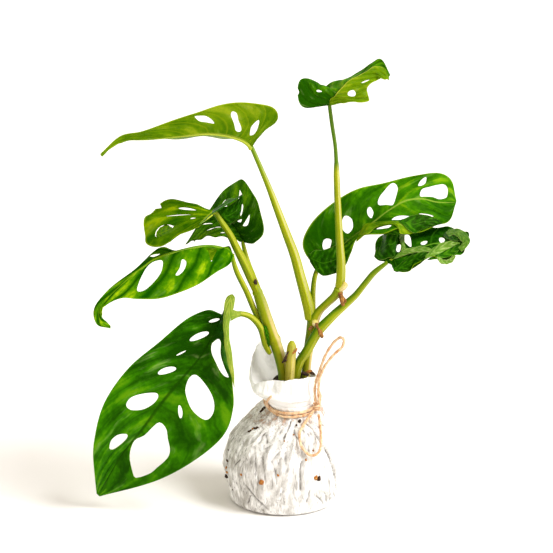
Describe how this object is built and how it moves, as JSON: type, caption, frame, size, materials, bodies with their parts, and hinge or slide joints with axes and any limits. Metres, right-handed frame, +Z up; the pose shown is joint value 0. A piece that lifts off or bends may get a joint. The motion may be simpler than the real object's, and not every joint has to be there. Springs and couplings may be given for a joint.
{
  "type": "swiss cheese vine with a wrapped root ball",
  "caption": "Young climbing plant with holed heart-shaped leaves on long stalks, its root ball wrapped in white tissue that is gathered and tied at the neck with jute twine.",
  "frame": {"origin": "centre of the flat base that the wrapped root ball stands on", "axes": "+Z up along the plant, +X to the right and +Y away from the viewer of the picture"},
  "size_m": [0.2488, 0.1063, 0.3005],
  "materials": {
    "leaf": "fresh leaf, glossy dark green with lighter yellow-green patches and pale veins",
    "stalk": "fresh yellow-green leaf stalk, satin",
    "vine": "fresh yellow-green vine stem, satin",
    "aerial_root": "dry brown root, matt",
    "soil": "moist dark potting fibre held together by roots, matt",
    "tissue": "thin white tissue, slightly translucent, pleated",
    "twine": "straw-brown twisted jute, hairy"
  },
  "bodies": {
    "root": {"leaf_low_left": "leaf", "leaf_mid_left": "leaf", "leaf_top_left": "leaf", "leaf_left_near": "leaf", "leaf_left_far": "leaf", "leaf_top_right": "leaf", "leaf_right_far": "leaf", "leaf_right_near": "leaf", "stalk_low_left": "stalk", "stalk_mid_left": "stalk", "stalk_left_near": "stalk", "stalk_left_far": "stalk", "stalk_top_left": "stalk", "stalk_top_right": "stalk", "stalk_right_far": "stalk", "stalk_right_near": "stalk", "vine_stem_left": "vine", "vine_stem_right": "vine", "young_shoot": "vine", "aerial_root_upper": "aerial_root", "aerial_root_lower": "aerial_root", "root_ball": "soil", "tissue_wrap": "tissue", "twine_tie": "twine", "twine_loop_upper": "twine", "twine_loop_lower": "twine"}
  },
  "joints": []
}
